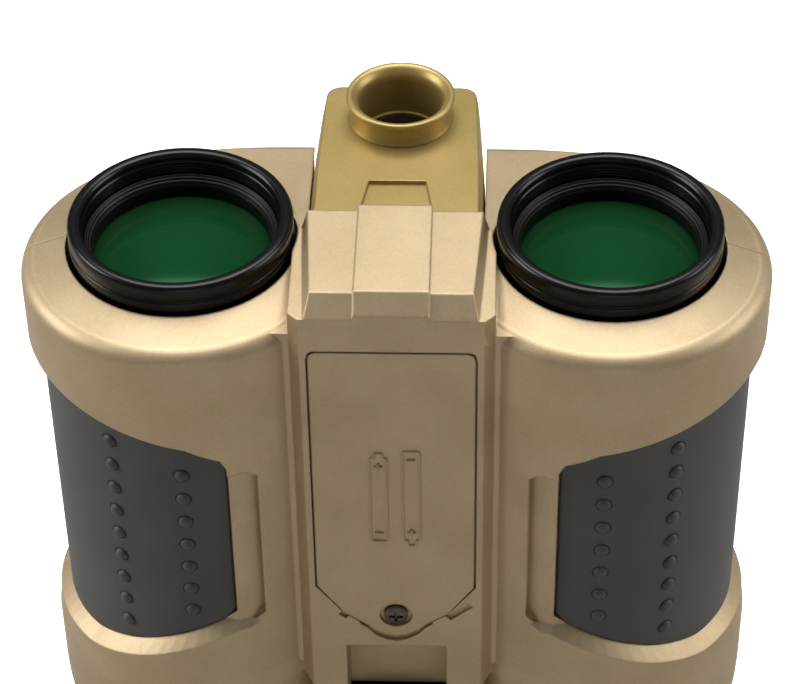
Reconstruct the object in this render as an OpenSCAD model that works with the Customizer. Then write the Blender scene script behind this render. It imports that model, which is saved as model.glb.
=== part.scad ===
// Toy binoculars with a pop-up spotlight, standing on their eyecups.
// +Z points from the eyepieces to the objectives, +Y is the top of the
// binoculars (the spotlight's side) and -Y is the underside (the battery door).

/* [Optics] */
// Distance between the two optical axes
axis_gap = 72; // [71:0.5:74]
// Outer radius of an objective ring
ring_r = 19; // [18.6:0.1:19.2]
// Clear radius of an objective lens
lens_clear_r = 15; // [14:0.1:15.2]
// Outer radius of an eyepiece tube
eye_tube_r = 15; // [14:0.1:15.2]

/* [Body] */
// Height of the front collars' face round the objective rings
face_z = 132.6; // [132:0.1:133]
// How far an objective ring stands out of the collar's face
ring_proud = 5.4; // [5:0.1:6]
// Outer radius of the front collars
collar_r = 27.5; // [27:0.1:28]
// Outer radius of the rear collars
tail_r = 28; // [27.5:0.1:28.5]
// Outer radius of the grips
grip_r = 25.3; // [25:0.1:25.6]
// Height of the arch of the top shell over the optical axes
arch_y = 30; // [29.6:0.1:30.4]
// Depth of the underside plate below the optical axes
plate_y = 22.5; // [22:0.1:23]
// Radius of the inner hollow of each barrel
hollow_r = 22.3; // [22:0.1:22.4]

/* [Spotlight] */
// Travel of the spotlight from stowed to popped up
light_travel = 12.6; // [11:0.1:12.6]
// Half width of the spotlight box at its foot
light_half_w = 15.6; // [15.2:0.1:15.6]
// Height of the top of the spotlight box over the optical axes
light_top_y = 39.9; // [39.6:0.1:40.2]
// Outer radius of the bezel's lip
bezel_r = 9.5; // [9:0.1:9.8]

/* [Battery] */
// Diameter of one AAA cell
cell_d = 10.4; // [10.3:0.05:10.5]
// Length of one AAA cell over its contact nub
cell_len = 44.5; // [43.5:0.1:44.6]
// Half width of the battery door
door_half_w = 13.8; // [13.4:0.1:14]

/* [Focus] */
// Outer radius of the focus wheel
wheel_r = 18.6; // [18:0.1:18.8]
// Travel of the eyepieces between the focus stops
focus_travel = 5; // [4:0.5:6]

/* [Hidden] */
$fn = 64;

// The standing height and the plane of the optical axes in the part's frame
origin_y = -7;
axis_x = axis_gap / 2;
ring_top_z = face_z + ring_proud;
seam_y = 1;
eps = 0.05;

// Grips
grip_t = 1.5;
grip_under_x = 28.1;
grip_over_x = 45;
grip_low = [[30.3, 65.8], [37.4, 62.6], [46.1, 58.8], [54, 55.8], [76, 53.4]];
bevel_slope = 0.85;
dot_r = 1.3;
surround_r = grip_r + 0.9;

// Barrels
end_z = 16;
end_r = 21;
tail_z = 36;
ring_open_r = 19.65;
ring_seat_r = ring_r - 0.5;
shoulder_r = 3;
arch_r = 218;

// Block between the rings, on the underside shell
block_top_z = ring_top_z;
block_band_z = block_top_z + 0.6;
block_back_y = seam_y + 0.8;
block_edge_y = -19.3;
block_chamfer = plate_y + block_edge_y;
collar_mid_z = face_z + 0.4;

// Spotlight
light_face_z = ring_top_z - 2.2;
light_back_z = 101.8;
light_foot_y = 3.6;
lamp_y = 30.9;
lip_h = 4.9;
path_gap = 0.25;
// Height of each slice of the spotlight box, and how far its sides are drawn in there
light_cuts = [[light_back_z, 0], [128, 0.5], [light_face_z - 1.9, 1], [light_face_z, 1.7]];
light_spring_x = 8.6;
light_spring_z = 109;
lamp_front_z = light_face_z - 4.8;

// Battery bay
door_top_z = 127.6;
door_side_z = 72.4;
door_tip_z = 59.6;
door_t = 1.6;
bay_half_w = 12.4;
bay_low_z = 74;
bay_top_z = 126;
bay_floor_y = -10;
bay_back_y = -9.2;
cell_y = bay_floor_y - 0.2 - cell_d / 2;
screw_z = 65;

// Focus gear
focus_y = seam_y;
wheel_low_z = 22.4;
wheel_top_z = 36.4;
journal_l = 3.8;
chamber_gap = 0.6;
journal_r = 6;
focus_screw_r = 3;
channel_half_w = 9;
channel_top_z = 57;
channel_y = -13.4;
roof_y = 16.5;
bridge_low_z = 11;
bridge_top_z = 14.8;

// Release button and latch
button_z = 80;
button_w = 14;
button_l = 9;
pivot_y = -2;
pivot_z = 94;
roof_in_y = 26.2;
ledge_top_y = roof_in_y - 0.1;
hook_y = ledge_top_y - light_travel + 0.2;
stem_y = pivot_y + 3.1;
cradle_y = 15.2;

// Body screws
boss_x = axis_x + 17.5;
boss_r = 2.7;
boss_zs = [60, 100];

// Loops for a neck strap
lug_r = 3.8;
lug_hole_r = 2.1;
lug_low_z = 24;
lug_len = 5;

light_c = "#bba36b";
gold_c = "#cdb78e";
dark_gold_c = "#857352";
grip_c = "#4a4846";
black_c = "#161616";
steel_c = "#b9bcc0";
brass_c = "#c9a24e";
lens_c = "#155020";
rubber_c = "#222222";

// ---- Helpers ----

// Shifts the drawing so that the part's frame sits under its middle
module placed() {
    translate([0, origin_y, 0]) children();
}

// Draws its children round the left (-1) or the right (1) optical axis
module at_axis(side) {
    placed() translate([side * axis_x, 0, 0]) children();
}

// Points of an arc in the plane
function arc(cx, cy, r, from, to, steps = 8) =
    [for (i = [0 : steps]) let (a = from + (to - from) * i / steps)
        [cx + r * cos(a), cy + r * sin(a)]];

// Mirrors a half outline of [x, y] points to its other side
function both_sides(half) = concat(half, [for (i = [len(half) - 1 : -1 : 0])
    [-half[i][0], half[i][1]]]);

// A cylinder along Y between two depths
module y_cylinder(r, from, to) {
    translate([0, from, 0]) rotate([-90, 0, 0]) cylinder(r = r, h = to - from);
}

// An outline drawn in the X-Z plane, carried along Y between two depths
module along_y(from, to) {
    translate([0, to, 0]) rotate([90, 0, 0]) linear_extrude(to - from) children();
}

// An outline drawn in the Y-Z plane, carried along X to both sides of the middle
module along_x(half_w) {
    rotate([90, 0, 90]) translate([0, 0, -half_w]) linear_extrude(2 * half_w) children();
}

// A box between two corners
module box(low, high) {
    translate(low) cube(high - low);
}

// A tube round Z between two heights
module tube(outer, inner, low, high) {
    difference() {
        translate([0, 0, low]) cylinder(r = outer, h = high - low);
        translate([0, 0, low - 1]) cylinder(r = inner, h = high - low + 2);
    }
}

// A coil spring along Z: a round wire swept along a helix
module coil(r, wire_r, length, turns) {
    per_turn = 12;
    sides = 5;
    steps = per_turn * turns;
    pts = [for (i = [0 : steps], j = [0 : sides - 1])
        let (a = 360 * i / per_turn, b = 360 * j / sides, q = r + wire_r * cos(b))
        [q * cos(a), q * sin(a),
            wire_r + (length - 2 * wire_r) * i / steps + wire_r * sin(b)]];
    walls = [for (i = [0 : steps - 1], j = [0 : sides - 1])
        let (k = (j + 1) % sides)
        [i * sides + j, i * sides + k, (i + 1) * sides + k, (i + 1) * sides + j]];
    near_end = [for (j = [sides - 1 : -1 : 0]) j];
    far_end = [for (j = [0 : sides - 1]) steps * sides + j];
    // The faces run the other way round so that they point outwards
    turned = [for (f = concat([near_end, far_end], walls)) [for (k = [len(f) - 1 : -1 : 0]) f[k]]];
    polyhedron(points = pts, faces = turned, convexity = 10);
}

// ---- Body shells ----

// Outline of one barrel, from the eyepiece end to the face round the ring
function barrel_outline() = concat(
    [[0, end_z]],
    [for (i = [0 : 8]) let (t = 90 * i / 8)
        [end_r + (tail_r - end_r) * sin(t), end_z + (tail_z - end_z) * (1 - cos(t))]],
    [[tail_r, 48], [collar_r, 52]],
    arc(collar_r - shoulder_r, face_z - 2 - shoulder_r, shoulder_r, 0, 80),
    [[ring_open_r, face_z], [0, face_z]]);

module barrels() {
    for (side = [-1, 1])
        translate([side * axis_x, 0, 0]) rotate_extrude() polygon(barrel_outline());
}

// Outline of the grips in the X-Z plane, from their inner edge to past the body's side
function grip_outline(grow) =
    let (x0 = grip_under_x - grow, far = axis_x + 40)
    concat([[x0, 68 - grow]], [for (p = grip_low) [p[0], p[1] - grow]],
        [[far, 117.6 + grow], [61, 116.2 + grow], [34.6, 109.6 + grow], [x0 + 4, 108 + grow],
            [x0 + 1, 106.4 + grow], [x0, 104.4]]);

// The space outside a radius that the grips wrap, on one side of the body
module grip_space(side, grow) {
    along_y(-40, seam_y) polygon([for (p = grip_outline(grow)) [side * p[0], p[1]]]);
    along_y(seam_y - 0.5, 40) intersection() {
        polygon([for (p = grip_outline(grow)) [side * p[0], p[1]]]);
        translate([side > 0 ? grip_over_x - grow : -90, 0]) square([90 - grip_over_x + grow, 140]);
    }
}

// The pocket that each grip lies in
module grip_pockets() {
    for (side = [-1, 1]) {
        difference() {
            grip_space(side, 0.15);
            translate([side * axis_x, 0, 0]) cylinder(r = grip_r - grip_t - eps, h = 140);
        }
        grip_bevel(side);
    }
}

// The slanted band that runs round the barrel under the grip's lower edge
module grip_bevel(side) {
    from = -28;
    to = 150;
    steps = 36;
    out_r = tail_r + 1.5;
    pts = [for (i = [0 : steps])
        let (a = from + (to - from) * i / steps,
            low_r = lookup(a, [[from, tail_r], [-24, surround_r], [-19, surround_r], [-14, grip_r - 0.4]]),
            z = lookup(axis_x + grip_r * sin(a), grip_low) - 0.1)
        for (q = [[low_r, z], [out_r, z - (out_r - low_r) * bevel_slope], [out_r, z + 3], [low_r, z + 3]])
            [side * (axis_x + q[0] * sin(a)), -q[0] * cos(a), q[1]]];
    walls = [for (i = [0 : steps - 1], j = [0 : 3])
        let (k = (j + 1) % 4, m = 4 * i)
        for (t = [[m + j, m + k, m + 4 + k], [m + j, m + 4 + k, m + 4 + j]]) t];
    last = 4 * steps;
    ends = [[2, 1, 0], [3, 2, 0], [last, last + 1, last + 2], [last, last + 2, last + 3]];
    polyhedron(points = pts, convexity = 6,
        faces = [for (f = concat(walls, ends)) side > 0 ? f : [f[2], f[1], f[0]]]);
}

// The shallow step beside the grips' inner edges
module grip_surrounds() {
    for (side = [-1, 1])
        difference() {
            along_y(-40, -5) polygon([for (p = [[23, 67.4], [24.6, 65.75], [29, 65.75], [40, 70],
                [40, 102.6], [24.6, 102.6], [23, 101]]) [side * p[0], p[1]]]);
            translate([side * axis_x, 0, 0]) cylinder(r = surround_r, h = 140);
        }
}

// The plate, its ledges and the block between the rings, all on the underside
module under_centre() {
    ledge_y = plate_y - 1.8;
    // Ledges on both sides of the plate
    along_x(16.4) polygon([[seam_y, 50], [-ledge_y, 50], [-ledge_y, face_z - 2.5],
        [-ledge_y + 2.5, face_z], [seam_y, collar_mid_z]]);
    along_y(-ledge_y, -12) polygon(both_sides([[14, 44], [14, 47.7], [19.9, 53], [19.9, face_z - 2.5]]));
    // Plate with bevelled sides
    difference() {
        translate([0, 0, 20]) linear_extrude(block_top_z - block_chamfer - 20)
            polygon(both_sides([[15.2, -plate_y], [17, -plate_y + 1.8], [17, seam_y]]));
        along_x(30) polygon([[-plate_y - 1, 15], [-plate_y - 1, 34], [-plate_y, 34], [-15, 15]]);
        for (side = [-1, 1])
            along_y(-40, -channel_half_w)
                polygon([[side * 15.2, 10], [side * 15.2, 46], [side * 20, 52], [side * 30, 52],
                    [side * 30, 10]]);
    }
    // Block between the rings, with a drafted side and a chamfered edge
    intersection() {
        hull() {
            translate([0, 0, face_z - 3]) linear_extrude(0.1)
                polygon(both_sides([[16, -plate_y], [17.2, block_back_y]]));
            translate([0, 0, block_top_z - 0.1]) linear_extrude(0.1)
                polygon(both_sides([[13.2, -plate_y], [14.7, block_back_y]]));
        }
        along_x(20) polygon([[block_back_y, 120], [block_back_y, block_top_z],
            [block_edge_y, block_top_z], [-plate_y, block_top_z - block_chamfer], [-plate_y, 120]]);
    }
    // Raised band down the middle of the block
    along_x(6.2) polygon([[block_back_y + 0.8, block_top_z - 1.6], [block_back_y + 0.8, block_band_z],
        [block_edge_y - 0.25, block_band_z], [-plate_y, block_band_z - block_chamfer + 0.25],
        [-plate_y, 130], [-plate_y + 2, 130]]);
}

// The rear of the body between the barrels, round the focus wheel
module rear_centre() {
    along_x(20) polygon([[-14, 18], [-12, end_z], [roof_y - 4, end_z], [roof_y, 22], [roof_y, 56],
        [-14, 56]]);
}

// The arched roof of the top shell between the barrels
module over_centre() {
    intersection() {
        translate([0, arch_y - arch_r, 0]) cylinder(r = arch_r, h = 140, $fn = 256);
        along_x(axis_x) polygon(concat([[seam_y, 40], [roof_y, 46], [arch_y + 1, 64]],
            arc(arch_y - 2.6, face_z - 5, 3, 0, 80), [[seam_y, collar_mid_z]]));
    }
}

module body_outer() {
    barrels();
    under_centre();
    rear_centre();
    over_centre();
}

// The space that the spotlight box sweeps as it slides, grown by a clearance
module light_path() {
    gap_w = light_half_w + path_gap;
    along_y(bay_back_y, 60) polygon(both_sides(concat([[gap_w - light_cuts[0][1], light_back_z - 0.4]],
        [for (c = light_cuts) [gap_w - c[1], c[0]]],
        [[gap_w - light_cuts[3][1], light_face_z + path_gap]])));
}

// The flat outline of the battery door, grown by a clearance
module door_outline(grow) {
    w = door_half_w + grow;
    polygon(concat(
        both_sides([[5.2, 62.6 - grow * 0.7], [9.2, 65.6 - grow * 0.7], [w, door_side_z - grow * 0.4],
            [w, door_top_z - 1.3], [w - 0.4, door_top_z - 0.4 + grow], [w - 1.3, door_top_z + grow]]),
        [for (x = [-4 : 2 : 4]) [x, door_tip_z - grow + x * x * 0.11]]));
}

// Everything inside the body that stays empty or is cut out of the walls
module body_hollows() {
    for (side = [-1, 1]) {
        translate([side * axis_x, 0, 0]) {
            for (span = [[20, 33], [36.5, 105], [109, 127]])
                translate([0, 0, span[0]]) cylinder(r = span[0] < 30 ? 20.5 : hollow_r,
                    h = span[1] - span[0]);
            translate([0, 0, 100]) cylinder(r = ring_open_r, h = 40);
            translate([0, 0, 10]) cylinder(r = eye_tube_r + eps, h = 60);
        }
    }
    light_path();
    // Battery bay, the seat of its door and the slot for the door's tabs
    box([-bay_half_w, -plate_y - 1, bay_low_z], [bay_half_w, bay_floor_y, bay_top_z]);
    along_y(-plate_y - 1, -plate_y + door_t + 0.1) door_outline(0.35);
    for (side = [-1, 1])
        translate([side * 8, 0, 0])
            box([-2.4, -plate_y + door_t + eps, bay_top_z - 1], [2.4, -plate_y + 5, bay_top_z + 5]);
    // The ledge round the door's tip, the pry notch and the small notch on its left
    along_y(-plate_y - 1, -plate_y + 0.8) intersection() {
        door_outline(1.3);
        translate([-6.5, 57]) square([13, 7.3]);
    }
    translate([11.2, 0, 66.2]) rotate([0, -40, 0])
        box([-2.6, -plate_y - 1, -0.9], [2.6, -plate_y + 0.7, 0.9]);
    translate([-9.2, 0, 65]) rotate([0, 40, 0]) box([-0.9, -plate_y - 1, -0.6], [0.9, -plate_y + 0.7, 0.6]);
    // Under the door's tip, round the boss of its screw
    difference() {
        box([-bay_half_w, -plate_y + door_t + 1, 67.5], [bay_half_w, -9.2, 72.4]);
        translate([0, 0, screw_z]) y_cylinder(3.6, -plate_y, 0);
    }
    translate([0, 0, screw_z]) y_cylinder(1.75, -plate_y, -12.5);
    // Middle of the body, above the bay and behind the spotlight
    box([-20, bay_back_y, 60], [20, seam_y + 0.1, light_back_z]);
    box([-20, seam_y, 66], [20, roof_in_y, light_back_z]);
    box([-14, channel_y + 2, 46], [14, roof_y - 3, 66]);
    // Channel and chamber of the focus wheel
    box([-channel_half_w, -plate_y - 1, 10], [channel_half_w, channel_y, channel_top_z]);
    translate([0, focus_y, wheel_low_z - chamber_gap])
        cylinder(r = wheel_r + chamber_gap, h = wheel_top_z - wheel_low_z + 2 * chamber_gap);
    translate([0, focus_y, wheel_low_z - journal_l - 0.2])
        cylinder(r = journal_r + eps, h = wheel_top_z - wheel_low_z + 2 * journal_l + 0.4);
    translate([0, focus_y, bridge_low_z]) cylinder(r = focus_screw_r + 0.5, h = 40);
    // Button, screws and pocket of the grips
    along_y(20, 40) translate([0, button_z]) square([button_w + 0.5, button_l + 0.5], center = true);
    grip_pockets();
    grip_surrounds();
}

// Bosses that the body screws hold together, and the ears of the latch pin
module inner_bosses() {
    for (side = [-1, 1], z = boss_zs)
        translate([side * boss_x, 0, z]) y_cylinder(boss_r, -12.4, 11.5);
    difference() {
        for (side = [-1, 1])
            box([side * 5 - 1, bay_back_y - 0.2, pivot_z - 3], [side * 5 + 1, pivot_y + 2.6, pivot_z + 3]);
        translate([-10, pivot_y, pivot_z]) rotate([0, 90, 0]) cylinder(r = 1.05, h = 20);
    }
    // Cradle that the button's spring stands on
    difference() {
        box([-9.8, cradle_y - 1.6, button_z - 7.8], [9.8, arch_y - 2, button_z + 7.8]);
        box([-9.3, cradle_y, button_z - 6.3], [9.3, arch_y, button_z + 6.3]);
        translate([0, 0, button_z]) y_cylinder(2.6, 0, 30);
    }
}

// The counterbores and holes of the body screws, grown by a clearance
module screw_spaces(gap) {
    for (side = [-1, 1], z = boss_zs)
        translate([side * boss_x, 0, z]) {
            y_cylinder(2.3, -20, -11.75);
            y_cylinder(1.25 + gap, -20, 9);
        }
}

// The space of the underside shell, which keeps the whole block between the rings
module under_half() {
    box([-80, -60, 0], [80, seam_y - eps / 2, 150]);
    box([-20, -60, collar_mid_z + eps], [20, block_back_y + 2, 150]);
}

// The space of the top shell
module over_half() {
    box([-80, seam_y + eps / 2, 0], [80, 60, collar_mid_z]);
}

// The underside half of the body, with the battery bay
module lower_shell() {
    color(gold_c) placed() difference() {
        intersection() {
            union() {
                difference() {
                    body_outer();
                    body_hollows();
                }
                inner_bosses();
            }
            under_half();
        }
        screw_spaces(0.3);
    }
}

// A loop at the rear of the top shell that a neck strap's cord threads through
module strap_lug(side) {
    reach = 2.6;
    a = 48;
    translate([side * axis_x, 0, 0]) rotate([0, 0, side > 0 ? a : 180 - a])
        difference() {
            union() {
                translate([tail_r - 4, -lug_r, lug_low_z]) cube([4 + reach, 2 * lug_r, lug_len]);
                translate([tail_r + reach, 0, lug_low_z]) cylinder(r = lug_r, h = lug_len);
            }
            translate([tail_r + reach, 0, 0]) cylinder(r = lug_hole_r, h = 60);
            cylinder(r = hollow_r + 1, h = 60);
        }
}

// The top half of the body, with the spotlight's opening and the button's hole
module upper_shell() {
    color(gold_c) placed() difference() {
        union() {
            intersection() {
                union() {
                    difference() {
                        body_outer();
                        body_hollows();
                    }
                    inner_bosses();
                }
                over_half();
            }
            for (side = [-1, 1]) strap_lug(side);
        }
        screw_spaces(0.05);
    }
}

// ---- Grips ----

// One grip wraps its barrel from the underside round to the top
module grip(side) {
    color(grip_c) placed() {
        intersection() {
            translate([side * axis_x, 0, 0]) tube(grip_r, grip_r - grip_t, 50, 120);
            grip_space(side, 0);
        }
        grip_dots(side);
    }
}

// Two columns of raised dots on the underside of a grip
module grip_dots(side) {
    // Each column: angle outwards from the front, lowest height, pitch, count
    for (column = [[28, 63.1, 5.5, 9], [-0.6, 68.8, 5.5, 7]])
        for (i = [0 : column[3] - 1])
            translate([side * axis_x, 0, 0]) rotate([0, 0, side * column[0]])
                difference() {
                    translate([0, -grip_r + 0.6, column[1] + i * column[2]]) sphere(r = dot_r, $fn = 24);
                    translate([0, -grip_r + 1, 0]) box([-2, 0, 0], [2, 4, 140]);
                }
}

module left_grip() grip(-1);
module right_grip() grip(1);

// ---- Objectives ----

lens_seat_z = face_z - 5.6;
seat_gap = 0.35;
lens_edge_t = 2.4;
lens_sag = 1.8;
lens_r = lens_clear_r + 1.3;

// The black ring that stands out of the collar and runs back into the barrel
module objective_ring(side) {
    in_r = lens_r + 0.15;
    color(black_c) at_axis(side) rotate_extrude() polygon(concat(
        [[17.9, 105.5], [17.9, 109.3], [ring_r - 0.6, 109.3], [ring_r - 0.6, 126], [ring_seat_r, 127],
            [ring_seat_r, face_z + 0.3], [ring_r, face_z + 0.3]],
        arc(ring_r - 0.9, ring_top_z - 0.9, 0.9, 0, 90, 4),
        [[16.9, ring_top_z], [16.4, ring_top_z - 0.8], [16.9, ring_top_z - 1.6], [in_r, ring_top_z - 2],
            [in_r, lens_seat_z], [lens_clear_r, lens_seat_z], [lens_clear_r, 105.5]]));
}

// A round lens with two domed faces
module objective_lens(side) {
    ball_r = (lens_r * lens_r + lens_sag * lens_sag) / (2 * lens_sag);
    mid_z = lens_seat_z + seat_gap + lens_edge_t / 2;
    color(lens_c) at_axis(side) intersection() {
        translate([0, 0, mid_z - 10]) cylinder(r = lens_r, h = 20);
        translate([0, 0, mid_z + lens_edge_t / 2 + lens_sag - ball_r]) sphere(r = ball_r, $fn = 128);
        translate([0, 0, mid_z - lens_edge_t / 2 - lens_sag + ball_r]) sphere(r = ball_r, $fn = 128);
    }
}

// The threaded ring that holds the lens against its seat
module retaining_ring(side) {
    low = lens_seat_z + lens_edge_t + 2 * seat_gap;
    top = face_z + 1.4;
    color(black_c) at_axis(side) rotate_extrude() polygon([[lens_clear_r, low], [lens_r + 0.1, low],
        [lens_r + 0.1, top], [lens_r - 0.6, top], [lens_clear_r, top - 0.9]]);
}

module left_objective_ring() objective_ring(-1);
module right_objective_ring() objective_ring(1);
module left_objective_lens() objective_lens(-1);
module right_objective_lens() objective_lens(1);
module left_retaining_ring() retaining_ring(-1);
module right_retaining_ring() retaining_ring(1);

// ---- Eyepieces ----

eye_in_r = eye_tube_r - 1.8;
eye_seat_z = 20;
tube_top_z = 41 + focus_travel;
cup_r = 17.4;
cup_top_z = 10.6;

// The tube that slides in the rear of a barrel
module eyepiece_tube(side) {
    color(black_c) at_axis(side) rotate_extrude() polygon([[eye_in_r, 2.4], [eye_tube_r, 2.4],
        [eye_tube_r, tube_top_z], [eye_in_r, tube_top_z], [eye_in_r, eye_seat_z + 2],
        [10.6, eye_seat_z + 1], [10.6, eye_seat_z], [eye_in_r, eye_seat_z]]);
}

// The eye lens, hollow on both sides
module eyepiece_lens(side) {
    r = eye_in_r - 0.1;
    color("#cfdde0") at_axis(side) difference() {
        translate([0, 0, eye_seat_z - 4.2]) cylinder(r = r, h = 4.15);
        translate([0, 0, eye_seat_z + 31.3]) sphere(r = 33, $fn = 96);
        translate([0, 0, eye_seat_z - 4.2 - 31.5]) sphere(r = 33, $fn = 96);
    }
}

// The soft cup that the eye rests against, and that the binoculars stand on
module eyecup(side) {
    color(rubber_c) at_axis(side) rotate_extrude() polygon(concat(
        [[eye_tube_r + 0.02, cup_top_z], [eye_tube_r + 0.02, 2.3], [eye_in_r, 2.3], [eye_in_r + 0.8, 0]],
        arc(cup_r - 0.8, 0.8, 0.8, -90, 0, 4),
        [[cup_r - 0.5, 6], [cup_r - 1, cup_top_z]]));
}

module left_eyepiece_tube() eyepiece_tube(-1);
module right_eyepiece_tube() eyepiece_tube(1);
module left_eyepiece_lens() eyepiece_lens(-1);
module right_eyepiece_lens() eyepiece_lens(1);
module left_eyecup() eyecup(-1);
module right_eyecup() eyecup(1);

// ---- Focus ----

// The bar that joins both eyepiece tubes to the focus screw
module focus_bridge() {
    h = bridge_top_z - bridge_low_z;
    color(black_c) placed() difference() {
        union() {
            for (side = [-1, 1])
                translate([side * axis_x, 0, bridge_low_z]) cylinder(r = 17.2, h = h);
            box([-axis_x + 10, -4.5, bridge_low_z], [axis_x - 10, 6.5, bridge_top_z]);
            translate([0, focus_y, bridge_low_z - 0.8]) cylinder(r = 7, h = h + 0.8);
        }
        for (side = [-1, 1])
            translate([side * axis_x, 0, 0]) cylinder(r = eye_tube_r + 0.02, h = 30);
        translate([0, focus_y, 0]) cylinder(r = focus_screw_r + 0.01, h = 30);
    }
}

// The steel screw that the wheel draws in and out, with its slotted end
module focus_screw() {
    color(steel_c) placed() translate([0, focus_y, 0]) difference() {
        union() {
            translate([0, 0, bridge_low_z - 1]) cylinder(r = focus_screw_r, h = 41 + focus_travel);
            translate([0, 0, bridge_low_z - 2]) cylinder(r = 4.4, h = 1.1);
        }
        translate([-5, -0.4, bridge_low_z - 3]) cube([10, 0.8, 1.5]);
    }
}

// The ribbed wheel between the barrels, with a journal on each side
module focus_wheel() {
    ribs = 30;
    color(black_c) placed() translate([0, focus_y, 0]) difference() {
        union() {
            translate([0, 0, wheel_low_z]) cylinder(r = wheel_r - 0.7, h = wheel_top_z - wheel_low_z);
            for (i = [0 : ribs - 1])
                rotate([0, 0, 360 * i / ribs])
                    translate([wheel_r - 1.5, -0.9, wheel_low_z + 1])
                        cube([1.5, 1.8, wheel_top_z - wheel_low_z - 2]);
            translate([0, 0, wheel_low_z - journal_l])
                cylinder(r = journal_r, h = wheel_top_z - wheel_low_z + 2 * journal_l);
        }
        translate([0, 0, end_z]) cylinder(r = focus_screw_r + eps, h = 30);
    }
}

// ---- Spotlight ----

// Outline of the spotlight box in the X-Y plane, with its sides and top drawn in
function light_outline(cut) = both_sides(concat(
    [[light_half_w - cut, light_foot_y], [light_half_w - 0.15 - cut, 20],
        [light_half_w - 0.9 - cut * 0.8, 33]],
    arc(light_half_w - 4.1 - cut * 0.5, light_top_y - 2.6 - cut * 0.4, 2.6, 10, 90, 4)));

// The sliding box, with its bevelled front edges and the lamp's round housing
module light_box() {
    depth = light_face_z - light_back_z;
    color(light_c) placed() difference() {
        union() {
            hull() for (c = light_cuts)
                translate([0, 0, c[0] - (c[0] > light_back_z ? 0.01 : 0)])
                    linear_extrude(0.01) polygon(light_outline(c[1]));
            translate([0, lamp_y, light_back_z + 8]) cylinder(r = bezel_r - 0.6, h = depth - 8);
        }
        box([-12.4, light_foot_y + 1.8, light_back_z - 1], [12.4, 30.5, light_face_z - 2]);
        translate([0, lamp_y, light_back_z - 1]) cylinder(r = 7.6, h = lamp_front_z - light_back_z + 1.5);
        translate([0, lamp_y, lamp_front_z - 0.02]) cylinder(r = 8.02, h = 10);
        // Finger notch in the face
        along_y(light_foot_y - 1, 12.6) polygon([[-4.9, light_face_z - 0.8], [4.9, light_face_z - 0.8],
            [4.9, light_face_z + 1], [-4.9, light_face_z + 1]]);
        translate([0, 0, light_face_z - 0.8]) linear_extrude(2)
            polygon(both_sides([[6.2, light_foot_y - 1], [6.2, 4.6], [4.9, 12.6]]));
        for (side = [-1, 1])
            translate([side * light_spring_x, 0, light_spring_z]) y_cylinder(2.6, 0, 6);
    }
    // Sleeves that the springs push up into
    color(light_c) placed() difference() {
        for (side = [-1, 1])
            translate([side * light_spring_x, 0, light_spring_z]) y_cylinder(3.4, 5, 26);
        for (side = [-1, 1])
            translate([side * light_spring_x, 0, light_spring_z]) y_cylinder(2.6, 3, 24.5);
        for (side = [-1, 1])
            box([side * 20 - 7.6, 0, 90], [side * 20 + 7.6, 40, 130]);
    }
}

// The cover that closes the back of the box, with the ledge that the latch holds
module light_back_cover() {
    color(dark_gold_c) placed() {
        box([-12.2, light_foot_y + 2, light_back_z], [12.2, 30.3, light_back_z + 1.6]);
        box([-2.6, ledge_top_y - 2, light_back_z - 1.4], [2.6, ledge_top_y, light_back_z + eps]);
    }
}

// The gold lip and tube that the beam comes out of
module light_bezel() {
    in_r = 7.3;
    low = lamp_front_z;
    lip_z = light_face_z + lip_h;
    color(light_c) placed() translate([0, lamp_y, 0]) rotate_extrude() polygon(concat(
        [[in_r - 0.35, low], [8, low], [8, light_face_z + 0.02], [bezel_r - 0.9, light_face_z + 0.02],
            [bezel_r - 0.7, light_face_z + 1.6]],
        arc(bezel_r - 0.7, lip_z - 0.7, 0.7, -40, 90, 5),
        [[bezel_r - 1.3, lip_z - 0.1], [in_r + 0.5, lip_z - 1.1], [in_r, lip_z - 2], [in_r, low + 0.35],
            [in_r - 0.35, low + 0.35]]));
}

// The black cup that holds the bulb, reflector and window
module lamp_holder() {
    color(black_c) placed() translate([0, lamp_y, 0]) rotate_extrude() polygon([
        [2.6, lamp_front_z - 16], [7.4, lamp_front_z - 16], [7.4, lamp_front_z - 1.3],
        [6.6, lamp_front_z - 1.3], [6.6, lamp_front_z - 12], [2.6, lamp_front_z - 12]]);
}

// The bright bowl behind the window
module lamp_reflector() {
    color("#d8d8d8") placed() translate([0, lamp_y, 0]) rotate_extrude() polygon([
        [2.6, lamp_front_z - 11.9], [3.8, lamp_front_z - 11.9], [5.5, lamp_front_z - 8],
        [6.5, lamp_front_z - 3.4], [6.5, lamp_front_z - 2.4], [6, lamp_front_z - 2.4],
        [4.9, lamp_front_z - 8], [3.4, lamp_front_z - 11], [2.6, lamp_front_z - 11]]);
}

// The bulb, in the middle of the reflector
module lamp_bulb() {
    color("white") placed() translate([0, lamp_y, 0]) {
        translate([0, 0, lamp_front_z - 17]) cylinder(r = 2.5, h = 12);
        translate([0, 0, lamp_front_z - 5]) sphere(r = 2.5);
    }
}

// The dark window at the bottom of the bezel's tube
module lamp_window() {
    color("#101010") placed() translate([0, lamp_y, lamp_front_z - 1.25]) cylinder(r = 7.5, h = 1.2);
}

// Two coil springs that push the box up
module light_springs() {
    color(steel_c) placed() for (side = [-1, 1])
        translate([side * light_spring_x, bay_back_y + 0.05, light_spring_z])
            rotate([-90, 0, 0]) coil(2, 0.3, 33.4, 9);
}

// Two brass brushes behind the box, which meet the strips when it is up
module light_brushes() {
    color(brass_c) placed() for (side = [-1, 1])
        box([side * 8 - 1.2, 8, light_back_z - 1.4], [side * 8 + 1.2, 11, light_back_z - 0.02]);
}

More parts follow.
